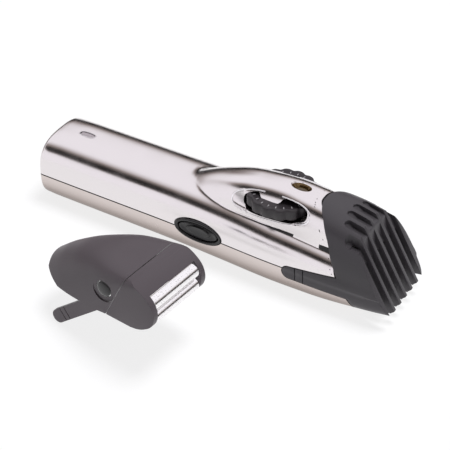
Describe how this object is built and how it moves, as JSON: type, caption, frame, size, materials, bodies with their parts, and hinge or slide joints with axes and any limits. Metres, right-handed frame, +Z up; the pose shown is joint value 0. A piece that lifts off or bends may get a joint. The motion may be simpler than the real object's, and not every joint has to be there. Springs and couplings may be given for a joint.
{
  "type": "cordless beard trimmer with foil shaver head",
  "caption": "Cordless shaver for beard and face: a slim plated handle with a length dial and a sliding guide comb, beside a separate clip-on foil shaver head.",
  "frame": {"origin": "on the flat underside of the handle, on its centre line and halfway along it, in the plane it lies on", "axes": "+X along the handle towards the comb, +Y away from the side with the power button, +Z up from the surface it lies on"},
  "size_m": [0.1656, 0.1005, 0.0404],
  "materials": {
    "satin_nickel": "satin nickel plating over ABS",
    "black_plastic": "fine satin",
    "charcoal_plastic": "satin charcoal",
    "stainless_steel": "brushed",
    "contact_metal": "nickel silver",
    "circuit_laminate": "green fibreglass laminate",
    "battery_wrap": "green shrink wrap",
    "motor_can": "plated can",
    "smoked_clear": "smoked acrylic",
    "green_lamp": "green epoxy",
    "white_acetal": "natural acetal"
  },
  "bodies": {
    "housing": {"top_cover": "satin_nickel", "bottom_cover": "satin_nickel", "housing_screw_1": "stainless_steel", "housing_screw_2": "stainless_steel", "housing_screw_3": "stainless_steel", "light_window": "smoked_clear", "status_light": "green_lamp", "setting_window": "smoked_clear", "button_bezel": "black_plastic", "button_spring": "stainless_steel", "micro_switch": "black_plastic", "battery_cell_1": "battery_wrap", "battery_cell_2": "battery_wrap", "battery_link": "contact_metal", "battery_tab_1": "contact_metal", "battery_tab_2": "contact_metal", "charging_socket": "black_plastic", "charging_pin_left": "contact_metal", "charging_pin_right": "contact_metal", "circuit_board": "circuit_laminate", "motor": "motor_can", "fixed_blade": "stainless_steel", "blade_spring": "stainless_steel", "blade_screw_left": "stainless_steel", "blade_screw_right": "stainless_steel", "head_nose": "black_plastic", "inner_frame": "black_plastic", "dial_axle": "stainless_steel", "dial_bridge": "black_plastic"},
    "power_button": {"power_button": "black_plastic"},
    "motor_crank": {"motor_shaft": "stainless_steel", "eccentric_cam": "white_acetal"},
    "blade_drive": {"moving_blade": "stainless_steel", "drive_fork": "white_acetal"},
    "comb_carriage": {"comb_carriage": "white_acetal"},
    "comb": {"guide_comb": "charcoal_plastic"},
    "dial": {"length_dial": "black_plastic"},
    "foil_head": {"foil_hood": "charcoal_plastic"},
    "foil_cassette": {"foil_frame": "charcoal_plastic", "foil_upper": "stainless_steel", "foil_lower": "stainless_steel"},
    "foil_cutters": {"cutter_upper": "stainless_steel", "cutter_lower": "stainless_steel", "cutter_cradle": "white_acetal"},
    "knob_left": {"hood_button_left": "charcoal_plastic"},
    "knob_right": {"hood_button_right": "charcoal_plastic"}
  },
  "joints": [
    {"name": "power_button_press", "type": "slide", "parent": "housing", "child": "power_button", "axis": [0, 1, 0], "range_m": [0, 0.0009], "stiffness_N_per_m": 600, "deforming": ["button_spring"]},
    {"name": "motor_spin", "type": "hinge", "parent": "housing", "child": "motor_crank", "pos_m": [0.033, 0, 0.0135], "axis": [1, 0, 0], "continuous": true},
    {"name": "blade_swing", "type": "slide", "parent": "housing", "child": "blade_drive", "axis": [0, 1, 0], "range_m": [-0.0008, 0.0008]},
    {"name": "comb_slide", "type": "slide", "parent": "housing", "child": "comb_carriage", "axis": [1, 0, 0], "range_m": [0, 0.012]},
    {"name": "dial_turn", "type": "hinge", "parent": "housing", "child": "dial", "pos_m": [0.0273, 0, 0.0312], "axis": [0, 0, 1], "range_deg": [-138, 0]},
    {"name": "comb_pull", "type": "slide", "parent": "comb_carriage", "child": "comb", "axis": [1, 0, 0], "range_m": [0, 0.045]},
    {"name": "foil_head_lift", "type": "slide", "parent": "housing", "child": "foil_head", "axis": [0, 0, 1], "range_m": [0, 0.1]},
    {"name": "foil_frame_pull", "type": "slide", "parent": "foil_head", "child": "foil_cassette", "axis": [0.8961, -0.1021, -0.4319], "range_m": [0, 0.02]},
    {"name": "cutter_sweep", "type": "slide", "parent": "foil_cassette", "child": "foil_cutters", "axis": [0.1132, 0.9936, 0], "range_m": [-0.0008, 0.0008]},
    {"name": "left_knob_press", "type": "slide", "parent": "foil_head", "child": "knob_left", "axis": [-0.1132, -0.9936, 0], "range_m": [0, 0.001], "stiffness_N_per_m": 600},
    {"name": "right_knob_press", "type": "slide", "parent": "foil_head", "child": "knob_right", "axis": [0.1132, 0.9936, 0], "range_m": [0, 0.001], "stiffness_N_per_m": 600}
  ],
  "couplings": [
    {"joint": "dial_turn", "follows": "comb_slide", "rad_per_m": -200}
  ]
}
